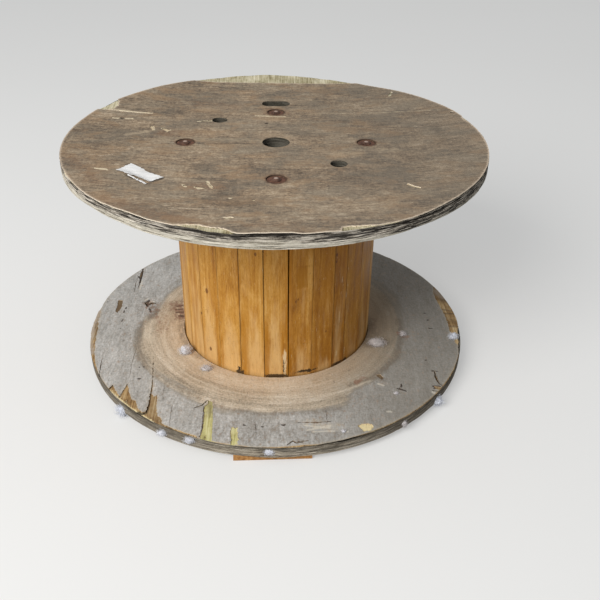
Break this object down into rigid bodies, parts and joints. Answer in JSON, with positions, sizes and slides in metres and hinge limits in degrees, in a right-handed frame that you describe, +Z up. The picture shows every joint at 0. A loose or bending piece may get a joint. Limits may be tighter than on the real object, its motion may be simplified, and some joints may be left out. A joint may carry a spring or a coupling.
{
  "type": "wooden cable drum",
  "caption": "Weathered plywood-flanged drum on a barrel of upright staves, for winding cable on; it stands on one flange on a board.",
  "frame": {"origin": "on the floor, on the drum's axis", "axes": "+Z up along the drum's axis, +Y to the back, the side of the cable-start slot, +X to the right"},
  "size_m": [1.2199, 1.22, 0.71],
  "materials": {
    "top_plywood": "weathered brown-grey plywood, split and delaminating at the rim",
    "bottom_plywood": "weathered grey plywood, browner round the barrel",
    "stave_pine": "amber varnished softwood",
    "board_wood": "orange-brown sawn board",
    "rusty_steel": "rusty steel",
    "label_paper": "torn blank white paper",
    "dust_fluff": "tufts of pale fluff caught on the splinters"
  },
  "bodies": {
    "root": {"bearer_board": "board_wood", "bolt_back": "rusty_steel", "bolt_front": "rusty_steel", "bolt_left": "rusty_steel", "bolt_right": "rusty_steel", "bottom_flange": "bottom_plywood", "closing_stave": "stave_pine", "head_washer_back": "rusty_steel", "head_washer_front": "rusty_steel", "head_washer_left": "rusty_steel", "head_washer_right": "rusty_steel", "nut_back": "rusty_steel", "nut_front": "rusty_steel", "nut_left": "rusty_steel", "nut_right": "rusty_steel", "nut_washer_back": "rusty_steel", "nut_washer_front": "rusty_steel", "nut_washer_left": "rusty_steel", "nut_washer_right": "rusty_steel", "stave_01": "stave_pine", "stave_02": "stave_pine", "stave_03": "stave_pine", "stave_04": "stave_pine", "stave_05": "stave_pine", "stave_06": "stave_pine", "stave_07": "stave_pine", "stave_08": "stave_pine", "stave_09": "stave_pine", "stave_10": "stave_pine", "stave_11": "stave_pine", "stave_12": "stave_pine", "stave_13": "stave_pine", "stave_14": "stave_pine", "stave_15": "stave_pine", "stave_16": "stave_pine", "stave_17": "stave_pine", "stave_18": "stave_pine", "stave_19": "stave_pine", "stave_20": "stave_pine", "stave_21": "stave_pine", "stave_22": "stave_pine", "stave_23": "stave_pine", "stave_24": "stave_pine", "stave_25": "stave_pine", "stave_26": "stave_pine", "top_flange": "top_plywood"}
  },
  "joints": []
}
